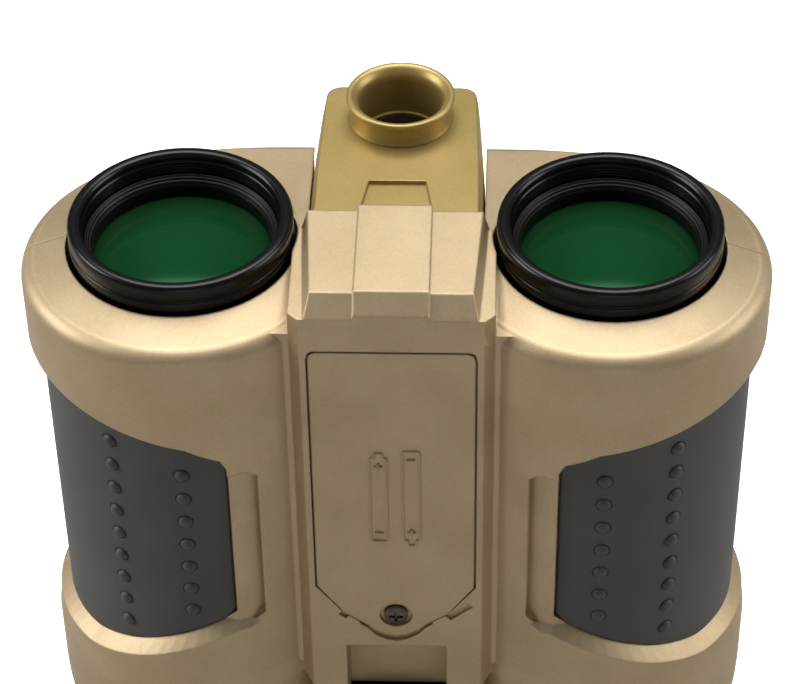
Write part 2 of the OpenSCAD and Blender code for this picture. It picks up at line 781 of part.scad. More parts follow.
// Two brass strips in the body, from the battery bay to the brushes
module contact_strips() {
    color(brass_c) placed() for (side = [-1, 1]) {
        box([side * 8 - 1, 3, light_back_z - 1.9], [side * 8 + 1, 14, light_back_z - 1.5]);
        box([side * 8 - 1, bay_back_y + 0.05, light_back_z - 1.9],
            [side * 8 + 1, 3, light_back_z - 1.7]);
    }
}

// ---- Button and latch ----

// The oblong button on top, with the flange that keeps it in
module release_button() {
    top_y = arch_y + 1.1;
    color(black_c) placed() {
        along_y(22.5, top_y) translate([0, button_z]) {
            square([button_w - button_l, button_l], center = true);
            for (side = [-1, 1]) translate([side * (button_w - button_l) / 2, 0]) circle(d = button_l);
        }
        along_y(22.5, roof_in_y - 0.1) translate([0, button_z])
            square([button_w + 4, button_l + 3], center = true);
        along_y(stem_y, 23) translate([0, button_z]) square([3, 3], center = true);
    }
}

// The coil spring between the button and the shell's shelf
module button_spring() {
    color(steel_c) placed() translate([0, cradle_y + 0.02, button_z])
        rotate([-90, 0, 0]) coil(3.2, 0.3, 7.2, 5);
}

// The bell crank that the button tips to let the spotlight go
module latch_lever() {
    color(black_c) placed() difference() {
        union() {
            box([-2.4, stem_y - 1.9, button_z - 2], [2.4, stem_y - 0.1, pivot_z + 1]);
            box([-2.4, pivot_y, pivot_z - 1.4], [2.4, hook_y + 2, pivot_z + 1.2]);
            box([-2.4, hook_y, pivot_z], [2.4, hook_y + 2, light_back_z - 1.7]);
            translate([-2.4, pivot_y, pivot_z]) rotate([0, 90, 0]) cylinder(r = 2.6, h = 4.8);
        }
        translate([-5, pivot_y, pivot_z]) rotate([0, 90, 0]) cylinder(r = 1.05, h = 10);
    }
}

// The steel pin that the latch turns on
module latch_pin() {
    color(steel_c) placed()
        translate([-6, pivot_y, pivot_z]) rotate([0, 90, 0]) cylinder(r = 1, h = 12);
}

// ---- Battery door and cells ----

// The door, with two tabs that it tips on and the seat of its screw
module battery_door() {
    color(gold_c) placed() difference() {
        union() {
            along_y(-plate_y, -plate_y + door_t) door_outline(0);
            for (side = [-1, 1])
                translate([side * 8, 0, 0]) {
                    box([-2, -plate_y + door_t - eps, bay_top_z - 0.6],
                        [2, -plate_y + 3, door_top_z - 0.4]);
                    box([-2, -plate_y + 1.85, bay_top_z - 0.6], [2, -plate_y + 3, door_top_z + 2]);
                }
        }
        translate([0, 0, screw_z]) y_cylinder(2.9, -plate_y - 1, -plate_y + 0.9);
        translate([0, 0, screw_z]) y_cylinder(1.75, -plate_y - 1, -plate_y + 3);
    }
}

// The screw that stays in the door
module door_screw() {
    color(steel_c) placed() translate([0, 0, screw_z]) difference() {
        union() {
            intersection() {
                y_cylinder(2.1, -plate_y - 0.4, -plate_y + 0.85);
                translate([0, -plate_y + 2.6, 0]) sphere(r = 3.2, $fn = 48);
            }
            y_cylinder(1.4, -plate_y + 0.8, -plate_y + 5.4);
        }
        for (a = [0, 90])
            rotate([0, a, 0]) box([-1.3, -plate_y - 1, -0.28], [1.3, -plate_y + 0.25, 0.28]);
    }
}

// A AAA cell along Z, with its nub at the top or at the foot
module cell(side, low, nub_up) {
    body_len = cell_len - 0.9;
    color("#3d5a6c") placed() translate([side * (cell_d / 2 + 0.3), cell_y, 0]) {
        translate([0, 0, nub_up ? low : low + 0.9]) cylinder(d = cell_d, h = body_len);
        translate([0, 0, low]) cylinder(d = 3.8, h = nub_up ? cell_len : 2);
    }
}

plate_t = 0.5;
cells_low_z = bay_low_z + 0.2 + plate_t;
cells_top_z = bay_top_z - 0.2 - plate_t;

module left_cell() cell(-1, cells_top_z - cell_len, true);
module right_cell() cell(1, cells_low_z, false);

// The two coils that press on the flat ends of the cells
module cell_springs() {
    len = cells_top_z - cells_low_z - cell_len - 0.1;
    color(steel_c) placed() {
        translate([-cell_d / 2 - 0.3, cell_y, cells_low_z + 0.02]) coil(2.8, 0.3, len, 4);
        translate([cell_d / 2 + 0.3, cell_y, cells_top_z - len - 0.02]) coil(2.8, 0.3, len, 4);
    }
}

// The plates at both ends of the bay: one joins the cells, the others lead out
module cell_plates() {
    half = cell_d + 0.6;
    color(brass_c) placed() {
        box([-half, cell_y - 4, bay_low_z + 0.2], [half, cell_y + 4, cells_low_z]);
        for (side = [-1, 1])
            translate([side * (half / 2 + 0.4), 0, 0])
                box([-half / 2 + 0.4, cell_y - 4, cells_top_z],
                    [half / 2 - 0.4, cell_y + 4, bay_top_z - 0.2]);
    }
}

// Four screws from the underside, hidden under the grips
module body_screws() {
    color(steel_c) placed() for (side = [-1, 1], z = boss_zs)
        translate([side * boss_x, 0, z]) difference() {
            union() {
                y_cylinder(2, -13.3, -11.8);
                y_cylinder(1.25, -12, 8.5);
            }
            for (a = [0, 90])
                rotate([0, a, 0]) box([-1.2, -14, -0.25], [1.2, -12.6, 0.25]);
        }
}

lower_shell();
upper_shell();
left_grip();
right_grip();
left_objective_ring();
right_objective_ring();
left_objective_lens();
right_objective_lens();
left_retaining_ring();
right_retaining_ring();
left_eyepiece_tube();
right_eyepiece_tube();
left_eyepiece_lens();
right_eyepiece_lens();
left_eyecup();
right_eyecup();
focus_bridge();
focus_screw();
focus_wheel();
light_box();
light_back_cover();
light_bezel();
lamp_holder();
lamp_reflector();
lamp_bulb();
lamp_window();
light_springs();
light_brushes();
contact_strips();
release_button();
button_spring();
latch_lever();
latch_pin();
battery_door();
door_screw();
left_cell();
right_cell();
cell_springs();
cell_plates();
body_screws();
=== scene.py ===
"""Toy binoculars with a pop-up spotlight, standing on their eyecups."""
import math

import bmesh
import bpy
import numpy as np
from mathutils import Matrix, Vector


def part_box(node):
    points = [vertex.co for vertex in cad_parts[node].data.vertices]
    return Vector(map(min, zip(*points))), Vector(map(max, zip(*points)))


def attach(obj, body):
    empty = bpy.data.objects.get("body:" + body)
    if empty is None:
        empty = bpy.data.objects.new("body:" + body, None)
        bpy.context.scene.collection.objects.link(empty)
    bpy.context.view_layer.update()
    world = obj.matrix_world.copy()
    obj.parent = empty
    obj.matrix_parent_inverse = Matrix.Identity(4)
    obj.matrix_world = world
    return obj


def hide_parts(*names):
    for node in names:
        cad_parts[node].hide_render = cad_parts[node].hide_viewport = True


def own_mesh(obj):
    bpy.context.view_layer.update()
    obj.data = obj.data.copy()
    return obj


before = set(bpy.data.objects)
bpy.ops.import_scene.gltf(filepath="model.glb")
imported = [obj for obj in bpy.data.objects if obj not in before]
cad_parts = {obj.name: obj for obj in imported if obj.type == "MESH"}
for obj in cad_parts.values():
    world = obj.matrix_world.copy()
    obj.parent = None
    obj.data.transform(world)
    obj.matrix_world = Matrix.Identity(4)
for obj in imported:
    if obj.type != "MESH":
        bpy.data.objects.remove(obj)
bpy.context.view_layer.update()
MM = 0.001

# The optical axes at x = +-36 and the spotlight's axis, in mm
AXIS_X, AXIS_Y = 36.0, -7.0
LAMP_Y = 23.9
# The pale disc of painted reflection in a lens lies this far towards the underside, and its reach is shown on
# a ramp of 20 mm
PAINTED_DISC_SHIFT, PAINTED_DISC_RAMP = 3.5, 20.0


# ---- Materials ----

def linear(hex_colour):
    """sRGB hex to linear red, green, blue and alpha."""
    c = np.array([int(hex_colour[i:i + 2], 16) for i in (1, 3, 5)]) / 255
    c = np.where(c <= 0.04045, c / 12.92, ((c + 0.055) / 1.055) ** 2.4)
    return (*map(float, c), 1.0)


def add(tree, kind, settings=None, **links):
    """Adds a node. A setting names an attribute or a socket; a link is (node, output)."""
    n = tree.nodes.new("ShaderNode" + kind)
    for name, value in (settings or {}).items():
        if isinstance(name, int) or name in n.inputs:
            n.inputs[name].default_value = value
        else:
            setattr(n, name, value)
    for name, (source, output) in links.items():
        key = int(name[1:]) if name[0] == "_" else name.replace("_", " ")
        tree.links.new(source.outputs[output], n.inputs[key])
    return n


def ramp(tree, source, output, stops):
    """A colour ramp over a value: stops are (place, hex colour)."""
    n = add(tree, "ValToRGB", None, Fac=(source, output))
    e = n.color_ramp.elements
    while len(e) < len(stops):
        e.new(0.5)
    for el, (place, colour) in zip(e, stops):
        el.position = place
        el.color = linear(colour)
    return n


def surface(name, settings, detail=None):
    """A Principled material; detail(tree, shader, coordinates) adds its pattern."""
    m = bpy.data.materials.new(name)
    m.use_nodes = True
    t = m.node_tree
    t.nodes.clear()
    shader = add(t, "BsdfPrincipled", settings)
    add(t, "OutputMaterial", None, Surface=(shader, "BSDF"))
    if detail:
        detail(t, shader, add(t, "TexCoord"))
    return m


def paint_detail(dark, light, edge):
    """Metallic lacquer: flakes 0.3 mm across, a slow change of tone over 11 mm and a fine ripple."""
    def make(t, shader, co):
        flakes = add(t, "TexVoronoi", {"Scale": 3300.0}, Vector=(co, "Object"))
        cloud = add(t, "TexNoise", {"Scale": 90.0, "Detail": 3.0}, Vector=(co, "Object"))
        tint = ramp(t, flakes, "Color", [(0.25, dark), (0.75, light)])
        patch = ramp(t, cloud, "Fac", [(0.3, dark), (0.7, light)])
        both = add(t, "Mix", {"data_type": "RGBA", "Factor": 0.35}, _6=(patch, "Color"), _7=(tint, "Color"))
        t.links.new(both.outputs[2], shader.inputs["Base Color"])
        grain = add(t, "TexNoise", {"Scale": 1600.0, "Detail": 2.0}, Vector=(co, "Object"))
        soft = add(t, "Bevel", {"samples": 6, "Radius": edge})
        bump = add(t, "Bump", {"Strength": 0.12, "Distance": 0.00006}, Height=(grain, "Fac"),
                   Normal=(soft, "Normal"))
        t.links.new(bump.outputs["Normal"], shader.inputs["Normal"])
        t.links.new(soft.outputs["Normal"], shader.inputs["Coat Normal"])
    return make


def plain_detail(dark, light, scale, strength, depth, edge=0.0003):
    """A moulded grain of the given scale, with the colour moving between two tones."""
    def make(t, shader, co):
        grain = add(t, "TexNoise", {"Scale": scale, "Detail": 4.0}, Vector=(co, "Object"))
        cloud = add(t, "TexNoise", {"Scale": 60.0, "Detail": 3.0}, Vector=(co, "Object"))
        tint = ramp(t, cloud, "Fac", [(0.3, dark), (0.7, light)])
        t.links.new(tint.outputs["Color"], shader.inputs["Base Color"])
        soft = add(t, "Bevel", {"samples": 6, "Radius": edge})
        bump = add(t, "Bump", {"Strength": strength, "Distance": depth}, Height=(grain, "Fac"),
                   Normal=(soft, "Normal"))
        t.links.new(bump.outputs["Normal"], shader.inputs["Normal"])
    return make


def lens_painted_reflection(t, shader, co):
    """Green coating with a painted reflection: a soft paler disc 24 mm across, set towards the underside, in
    a darker surround.

    The reach from the disc's middle is sqrt((|x| - 36)^2 + (y + 10.5)^2) in mm.
    """
    place = add(t, "SeparateXYZ", None, Vector=(co, "Object"))
    across = add(t, "Math", {"operation": "ABSOLUTE"}, _0=(place, "X"))
    from_x = add(t, "Math", {"operation": "SUBTRACT", 1: AXIS_X * MM}, _0=(across, "Value"))
    from_y = add(t, "Math", {"operation": "ADD", 1: (PAINTED_DISC_SHIFT - AXIS_Y) * MM}, _0=(place, "Y"))
    flat = add(t, "CombineXYZ", None, X=(from_x, "Value"), Y=(from_y, "Value"))
    reach = add(t, "VectorMath", {"operation": "LENGTH"}, _0=(flat, "Vector"))
    wide = add(t, "Math", {"operation": "MULTIPLY", 1: 1 / (PAINTED_DISC_RAMP * MM)}, _0=(reach, "Value"))
    # Painted reflection: the green is paler near the disc's middle and darker outwards
    tint = ramp(t, wide, "Value", [(0.0, "#104424"), (0.56, "#0f3e1f"), (0.66, "#10371c"), (0.85, "#103419")])
    t.links.new(tint.outputs["Color"], shader.inputs["Base Color"])


# A warm pale metal sheen that brightens broadly where the shell turns to the light
gold = surface("champagne metallic lacquer on ABS",
               {"Metallic": 0.82, "Roughness": 0.52, "Coat Weight": 0.1, "Coat Roughness": 0.3},
               paint_detail("#bda784", "#cdb896", 0.0005))
# A deeper, yellower gold than the shell, with the same soft sheen
light_gold = surface("deep gold lacquer on ABS",
                     {"Metallic": 0.7, "Roughness": 0.42, "Coat Weight": 0.12, "Coat Roughness": 0.3},
                     paint_detail("#a99256", "#b79f64", 0.0005))
# Dark warm grey with a fine grain, which keeps highlights low and wide
grip_mat = surface("satin thermoplastic rubber", {"Roughness": 0.5, "Specular IOR Level": 0.4},
                   plain_detail("#4c4b4a", "#545352", 2200.0, 0.25, 0.00008))
# Near-black moulding with thin bright lines along its lips
gloss_black = surface("gloss black ABS", {"Roughness": 0.24, "Specular IOR Level": 0.32},
                      plain_detail("#060606", "#0b0b0b", 900.0, 0.05, 0.00005))
# Black that stays quiet beside the glossy rings
satin_black = surface("satin black ABS", {"Roughness": 0.4, "Specular IOR Level": 0.3},
                      plain_detail("#080808", "#0f0f0f", 1500.0, 0.15, 0.00006))
# Soft matt black that shows its grooves only by shade
cup_rubber = surface("moulded black rubber", {"Roughness": 0.6},
                     plain_detail("#151515", "#1e1e1e", 1200.0, 0.3, 0.0001))
# Deep green, with a painted reflection as a paler disc near its middle
green_glass_painted_reflection = surface("green coated glass with painted reflection", {"Roughness": 0.1, "Specular IOR Level": 0.25,
                                             "Specular Tint": linear("#58d08a")}, lens_painted_reflection)
# Water-clear eye lens
clear_glass = surface("clear acrylic", {"Roughness": 0.03, "Transmission Weight": 1.0, "IOR": 1.49},
                      plain_detail("#eef6f4", "#ffffff", 50.0, 0.0, 0.00001, 0.0001))
# Dark window that mirrors the tube above it
dark_glass = surface("smoked acrylic", {"Roughness": 0.06, "Coat Weight": 0.5},
                     plain_detail("#0d0d0e", "#131315", 50.0, 0.0, 0.00001, 0.0001))
# Bright bowl behind the bulb
mirror = surface("vacuum metallised plastic", {"Metallic": 1.0, "Roughness": 0.08},
                 plain_detail("#d8d8da", "#e8e8ea", 200.0, 0.02, 0.00003))
# Milky bulb that passes some light
bulb_glass = surface("frosted bulb glass", {"Roughness": 0.2, "Transmission Weight": 0.8, "IOR": 1.5},
                     plain_detail("#f4f1e6", "#ffffff", 200.0, 0.02, 0.00003))
# Bright springs, pins and screws inside
steel = surface("nickel plated steel", {"Metallic": 1.0, "Roughness": 0.28},
                plain_detail("#a9abae", "#c4c6c9", 900.0, 0.1, 0.00004))
# Screw head in a darker, duller steel than the springs, which looks almost black in its recess
dull_steel = surface("dark dull screw steel", {"Metallic": 1.0, "Roughness": 0.42},
                     plain_detail("#5c5650", "#7b746b", 900.0, 0.1, 0.00004))
# Yellow contact strips and plates
brass = surface("rolled brass strip", {"Metallic": 1.0, "Roughness": 0.3},
                plain_detail("#b8923f", "#cfa95a", 900.0, 0.1, 0.00004))
# Blue printed film round a cell, with no lettering
wrap = surface("printed shrink film", {"Roughness": 0.3, "Coat Weight": 0.3},
               plain_detail("#35506a", "#3d5a74", 200.0, 0.03, 0.00003))

SLOTS = {"gold_shell": gold, "gold_light": light_gold, "grip_rubber": grip_mat, "black_gloss": gloss_black,
         "black_satin": satin_black, "cup_rubber": cup_rubber, "green_lens": green_glass_painted_reflection,
         "clear_lens": clear_glass, "dark_window": dark_glass, "mirror_bowl": mirror,
         "bulb_glass": bulb_glass, "steel": steel, "brass_contact": brass, "cell_wrap": wrap}
for name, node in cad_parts.items():
    for slot in node.material_slots:
        slot.material = SLOTS[slot.material.name.split(".")[0]]

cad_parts["door_screw"].material_slots[0].material = dull_steel

# ---- Making meshes ----

def mesh_piece(name, points, faces, material, body, nodes=(), sharp=35.0):
    """Points in metres and faces become one smooth-shaded piece that rides on a body."""
    mesh = bpy.data.meshes.new(name)
    corners = np.asarray(points, float).reshape(-1, 3)
    mesh.from_pydata(corners.tolist(), [], [list(map(int, f)) for f in faces])
    mesh.materials.append(material)
    obj = bpy.data.objects.new(name, mesh)
    bpy.context.scene.collection.objects.link(obj)
    tidy(mesh, 1e-7, sharp)
    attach(obj, body)
    if nodes:
        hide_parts(*nodes)
    return obj


def tidy(mesh, gap, sharp):
    """Closes seams and poles, and keeps edges sharp where faces turn by more than an angle."""
    b = bmesh.new()
    b.from_mesh(mesh)
    bmesh.ops.remove_doubles(b, verts=b.verts, dist=gap)
    bmesh.ops.dissolve_degenerate(b, edges=b.edges, dist=gap)
    b.to_mesh(mesh)
    b.free()
    mesh.shade_smooth()
    mesh.set_sharp_from_angle(angle=math.radians(sharp))


def turn_outwards(mesh):
    """Turns every face of closed forms to the outside."""
    b = bmesh.new()
    b.from_mesh(mesh)
    bmesh.ops.recalc_face_normals(b, faces=b.faces)
    b.to_mesh(mesh)
    b.free()


def grid_faces(rows, columns, wrap_rows=False, wrap_columns=False, first=0):
    """Quads between neighbouring points of a rows x columns grid."""
    i = np.arange(rows if wrap_rows else rows - 1)[:, None]
    j = np.arange(columns if wrap_columns else columns - 1)[None, :]
    a, b = i * columns + j, i * columns + (j + 1) % columns
    c, d = (i + 1) % rows * columns + (j + 1) % columns, (i + 1) % rows * columns + j
    return (np.stack([a, b, c, d], -1).reshape(-1, 4) + first).tolist()


def rounded(corners, steps=4):
    """A closed outline with each corner (a, b, size) eased by a curve from one side's foot to the other's."""
    c = np.array([(*k, 0.0)[:3] for k in corners], float)
    p, size = c[:, :2], c[:, 2:]
    back, on = np.roll(p, 1, 0) - p, np.roll(p, -1, 0) - p
    reach_back, reach_on = (np.linalg.norm(v, axis=1, keepdims=True) for v in (back, on))
    foot_a = p + back / reach_back * np.minimum(size, reach_back * 0.48)
    foot_b = p + on / reach_on * np.minimum(size, reach_on * 0.48)
    t = np.linspace(0, 1, steps + 1)[None, :, None]
    curve = (1 - t) ** 2 * foot_a[:, None] + 2 * t * (1 - t) * p[:, None] + t ** 2 * foot_b[:, None]
    keep = np.ones(curve.shape[:2], bool)
    keep[size[:, 0] == 0, 1:] = False
    return curve[keep]


def lathe(outline, centre, turns=144):
    """The outline (radius, height) in mm turned about an upright axis: x = cx + r cos a, y = cy + r sin a."""
    r, z = np.asarray(outline, float).T
    a = np.linspace(0, 2 * np.pi, turns, endpoint=False)
    x = centre[0] + r[:, None] * np.cos(a)
    y = centre[1] + r[:, None] * np.sin(a)
    points = np.stack([x, y, np.broadcast_to(z[:, None], x.shape)], -1) * MM
    return points.reshape(-1, 3), grid_faces(len(r), turns, True, True)


def facing_out(faces, flip):
    return [f[::-1] for f in faces] if flip else faces


def turned(name, corners, centre, material, body, nodes, steps=4):
    """A turned piece; its outline runs clockwise on paper, up the outside and down the bore."""
    outline = rounded(corners, steps)
    area = np.sum(outline[:, 0] * np.roll(outline[:, 1], -1) - np.roll(outline[:, 0], -1) * outline[:, 1])
    points, faces = lathe(outline, centre)
    return mesh_piece(name, points, facing_out(faces, area > 0), material, body, nodes)


# ---- Objective rings ----

def objective_ring(side_name, sign):
    """Gloss barrel with a rolled lip, a shadow groove outside and a fine thread inside."""
    low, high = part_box(side_name + "_objective_ring")
    base, top = low.z / MM, high.z / MM
    thread = [(16.45 + 0.13 * (k % 2), top - 1.9 - 0.28 * k) for k in range(8)]
    corners = [(15.0, base), (17.9, base), (17.9, base + 3.8), (18.4, base + 3.8), (18.4, 126), (18.82, 127),
               (18.82, 132.9, 0.1), (19.0, 132.95, 0.1), (19.0, top - 3.5, 0.25), (18.72, top - 3.25, 0.2),
               (18.72, top - 3.0, 0.2), (19.0, top - 2.7, 0.25), (19.0, top, 1.5), (17.2, top, 0.5),
               (16.65, top - 0.7, 0.35), (16.75, top - 1.4, 0.3), (16.45, top - 1.75, 0.1)]
    corners += thread + [(16.45, top - 4.3), (16.45, 127.0), (15.0, 127.0)]
    return turned(side_name + "_ring_barrel", corners, (sign * AXIS_X, AXIS_Y), gloss_black, "body",
                  [side_name + "_objective_ring"])


def retaining_ring(side_name, sign):
    """Threaded ring over the lens, with a stepped cone towards the glass."""
    low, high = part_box(side_name + "_retaining_ring")
    base, top = low.z / MM, high.z / MM
    corners = [(15.0, base), (16.4, base), (16.4, top, 0.15), (16.05, top, 0.12), (15.95, top - 0.35, 0.1),
               (15.7, top - 0.35, 0.1), (15.6, top - 0.8, 0.1), (15.35, top - 0.8, 0.1),
               (15.2, top - 1.3, 0.1), (15.0, top - 1.6, 0.2)]
    return turned(side_name + "_lens_retainer", corners, (sign * AXIS_X, AXIS_Y), satin_black, "body",
                  [side_name + "_retaining_ring"])


def eyecup(side_name, sign):
    """Moulded rubber cup with a soft lip and three grip grooves."""
    low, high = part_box(side_name + "_eyecup")
    base, top = low.z / MM, high.z / MM
    outer = [(17.4, base, 0.9), (17.2, base + 3.2, 0.3)]
    for k in range(3):
        z = base + 3.9 + 1.7 * k
        outer += [(17.05, z, 0.2), (16.7, z + 0.3, 0.2), (16.7, z + 0.6, 0.2), (17.0, z + 0.9, 0.2)]
    corners = [(14.0, base, 0.6)] + outer + [(16.4, top, 0.5), (15.02, top), (15.02, 2.3), (13.2, 2.3, 0.2)]
    return turned(side_name + "_rubber_eyecup", corners, (sign * AXIS_X, AXIS_Y), cup_rubber, "eyepieces",
                  [side_name + "_eyecup"])


def light_lip():
    """The spotlight's rolled lip on its flared neck, and the tube down to the window with a bright ledge."""
    low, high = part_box("light_bezel")
    base, top = low.z / MM, high.z / MM
    corners = [(6.95, base), (8.0, base), (8.0, top - 4.88), (9.3, top - 4.88, 0.15), (8.95, top - 4.2, 0.6),
               (8.75, top - 1.5, 0.4), (9.5, top - 1.05, 0.45), (9.5, top - 0.1, 0.55), (8.75, top, 0.5),
               (8.15, top - 0.35, 0.35), (7.45, top - 1.25, 0.7), (7.3, top - 2.4, 0.3),
               (7.3, base + 0.4, 0.1), (6.95, base + 0.25, 0.1)]
    return turned("spotlight_lip", corners, (0.0, LAMP_Y), light_gold, "spotlight",
                  ["light_bezel"], steps=5)


for word, sign in (("left", -1), ("right", 1)):
    objective_ring(word, sign)
    retaining_ring(word, sign)
    eyecup(word, sign)
light_lip()

# ---- Grips ----

GRIP_R, GRIP_IN_R, EASE = 25.3, 23.8, 0.55
LOW_EDGE = np.array([(28.1, 68.0), (30.3, 65.8), (37.4, 62.6), (46.1, 58.8), (54.0, 55.8), (76.0, 53.4)])
HIGH_EDGE = np.array([(28.1, 104.4), (28.5, 105.6), (29.1, 106.4), (30.4, 107.3), (32.1, 108.0),
                      (34.6, 109.6), (61.0, 116.2), (76.0, 117.6)])


def grip(side_name, sign):
    """Rubber sheet round the barrel: radius 25.3 less a quarter-round ease at its edges, with raised dots.

    The sheet is a grid of turn a and height z, between the low and the high edge at x = 36 + 25.3 sin a.
    Each dot is a domed cap 0.8 mm high and 2.6 mm across, whose foot is sunk in the sheet.
    """
    start = math.degrees(math.asin((28.1 - AXIS_X) / GRIP_R))
    stop = 180 - math.degrees(math.asin((45.0 - AXIS_X) / GRIP_R))
    ease = EASE * (1 - np.cos(np.linspace(0, np.pi / 2, 6)))
    turn_ease = np.degrees(ease / GRIP_R)
    middle_turns = np.linspace(start, stop, 140)[1:-1]
    a = np.radians(np.concatenate([start + turn_ease, middle_turns, stop - turn_ease[::-1]]))
    x = AXIS_X + GRIP_R * np.sin(a)
    low, high = np.interp(x, *LOW_EDGE.T), np.interp(x, *HIGH_EDGE.T)
    inner = np.linspace(0, 1, 40)[1:-1]
    middle = low[:, None] + (high - low)[:, None] * inner
    z = np.concatenate([low[:, None] + ease, middle, high[:, None] - ease[::-1]], 1)
    near = np.minimum(np.minimum(z - low[:, None], high[:, None] - z),
                      GRIP_R * np.minimum(a - a[0], a[-1] - a)[:, None])
    drop = EASE - np.sqrt(np.maximum(EASE ** 2 - np.maximum(EASE - near, 0) ** 2, 0))
    front_r = GRIP_R - drop
    sheets = []
    for r in (front_r, np.full_like(front_r, GRIP_IN_R)):
        x_out, y_out = sign * (AXIS_X + r * np.sin(a)[:, None]), AXIS_Y - r * np.cos(a)[:, None]
        sheets.append(np.stack([x_out, y_out, z], -1))
    rows, columns = z.shape
    points = np.concatenate([s.reshape(-1, 3) for s in sheets])
    faces = grid_faces(rows, columns) + [f[::-1] for f in grid_faces(rows, columns, first=rows * columns)]
    k = np.arange(rows * columns).reshape(rows, columns)
    rim = np.concatenate([k[:, 0], k[-1, 1:], k[-2::-1, -1], k[0, -2:0:-1]])
    after = np.roll(rim, -1)
    faces += np.stack([after, rim, rim + rows * columns, after + rows * columns], 1).tolist()
    for column_turn, first, count in ((28.0, 63.1, 9), (-0.6, 68.8, 7)):
        for n in range(count):
            cap, cap_faces = dot(sign, math.radians(column_turn), first + 5.5 * n, len(points))
            points = np.concatenate([points, cap])
            faces += cap_faces
    return mesh_piece(side_name + "_rubber_grip", points * MM, facing_out(faces, sign < 0), grip_mat, "body",
                      [side_name + "_grip"])


def dot(sign, turn, height, first):
    """A raised cap with a softly eased foot, on the grip at a turn and a height."""
    s = np.array([0.001, 0.25, 0.5, 0.75, 0.95, 1.1, 1.2, 1.3, 1.5])
    h = np.array([0.80, 0.79, 0.74, 0.64, 0.49, 0.31, 0.14, 0.02, -0.12])
    b = np.linspace(0, 2 * np.pi, 20, endpoint=False)
    a = turn + s[:, None] * np.cos(b) / GRIP_R
    r = GRIP_R + h[:, None] + 0 * a
    z = height + s[:, None] * np.sin(b)
    points = np.stack([sign * (AXIS_X + r * np.sin(a)), AXIS_Y - r * np.cos(a), z], -1).reshape(-1, 3)
    faces = [f[::-1] for f in grid_faces(len(s), 20, False, True, first)]
    return points, faces + [[first + q for q in range(20)]]


grip("left", -1)
grip("right", 1)

# ---- Raised marks on the battery door ----

def ridge(path, width, height, closed=False):
    """A half-round bead: across the path it goes from one foot over the crown to the other."""
    p = np.asarray(path, float)
    step = np.roll(p, -1, 0) - np.roll(p, 1, 0) if closed else np.gradient(p, axis=0)
    step /= np.linalg.norm(step, axis=1, keepdims=True)
    across = np.stack([-step[:, 1], step[:, 0]], 1)
    t = np.linspace(0, np.pi, 7)
    off, up_by = np.cos(t) * width / 2, np.sin(t) * height - 0.05
    flat = p[:, None] + across[:, None] * off[None, :, None]
    points = np.stack([flat[..., 0], np.broadcast_to(-up_by, flat.shape[:2]), flat[..., 1]], -1)
    faces = grid_faces(len(p), 7, closed, False)
    if not closed:
        faces += [list(range(7))[::-1], [(len(p) - 1) * 7 + q for q in range(7)]]
    return points.reshape(-1, 3), faces


def cell_mark(middle_x, low, high, up_way):
    """Outline of a battery with its nub, a plus by the nub and a minus at the other end."""
    half_w, nub = 1.45, 0.7
    end, start = (high, low) if up_way else (low, high)
    way = 1 if up_way else -1
    body_end = end - way * 1.1
    corners = [(-half_w, start, 0.4), (half_w, start, 0.4), (half_w, body_end, 0.4), (nub, body_end, 0.1),
               (nub, end, 0.25), (-nub, end, 0.25), (-nub, body_end, 0.1), (-half_w, body_end, 0.4)]
    loop = rounded(corners, 3)
    marks = [(loop, True)]
    plus, minus = body_end - way * 2.0, start + way * 2.0
    for z, turned_way in ((plus, True), (plus, False), (minus, False)):
        t = np.linspace(-0.75, 0.75, 6)
        marks.append((np.stack([0 * t, z + t] if turned_way else [t, z + 0 * t], 1), False))
    points, faces = [], []
    for path, closed in marks:
        p, f = ridge(path, 0.5, 0.42, closed)
        faces += [[q + sum(map(len, points)) for q in face] for face in f]
        points.append(p)
    return np.concatenate(points) + np.array([middle_x, 0, 0]), faces


door_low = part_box("battery_door")[0]
for word, x, low, high, up_way in (("left", -2.6, 84.0, 105.0, True), ("right", 3.0, 83.0, 105.5, False)):
    points, faces = cell_mark(x, low, high, up_way)
    points[:, 1] += door_low.y / MM
    mark = mesh_piece(word + "_raised_cell_mark", points * MM, faces, gold, "door")
    turn_outwards(mark.data)

# ---- Springs ----

LIGHT_FOOT_Y, BUTTON_FOOT_Y = -16.15, 8.22


def coil(middle_x, foot_y, z, r, wire, length, turns, first=0):
    """A round wire along Y, at a share t of its way and a turn b round the wire.

    x = mx + q cos a, z = mz + q sin a with q = r + w cos b, and y = foot + w + (l - 2w) t + w sin b.
    """
    t = np.linspace(0, 1, 28 * turns + 1)[:, None]
    b = np.linspace(0, 2 * np.pi, 10, endpoint=False)[None, :]
    a, q = 2 * np.pi * turns * t, r + wire * np.cos(b)
    y = foot_y + wire + (length - 2 * wire) * t + wire * np.sin(b)
    points = np.stack([middle_x + q * np.cos(a), y, z + q * np.sin(a)], -1).reshape(-1, 3)
    last = len(points) - 10
    faces = grid_faces(len(t), 10, False, True, first)
    return points, faces + [[first + k for k in range(10)], [first + last + k for k in range(10)]]


def springs(name, parts, body, node):
    """Coils in one piece, on a mesh of their own."""
    points, faces = np.zeros((0, 3)), []
    for part in parts:
        p, f = coil(*part, first=len(points))
        points, faces = np.concatenate([points, p]), faces + f
    obj = mesh_piece(name, points * MM, faces, steel, body, [node])
    turn_outwards(obj.data)
    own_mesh(obj)


springs("spotlight_coil_springs", [(x, LIGHT_FOOT_Y, 109.0, 2.0, 0.3, 33.4, 9) for x in (-8.6, 8.6)], "body",
        "light_springs")
springs("button_coil_spring", [(0.0, BUTTON_FOOT_Y, 80.0, 3.2, 0.3, 7.2, 5)], "body",
        "button_spring")

# ---- Floor, light and camera ----

def quad(name, corners, material):
    """A flat four-cornered sheet."""
    mesh = bpy.data.meshes.new(name)
    mesh.from_pydata(corners, [], [(0, 1, 2, 3)])
    mesh.materials.append(material)
    obj = bpy.data.objects.new(name, mesh)
    bpy.context.scene.collection.objects.link(obj)
    return obj


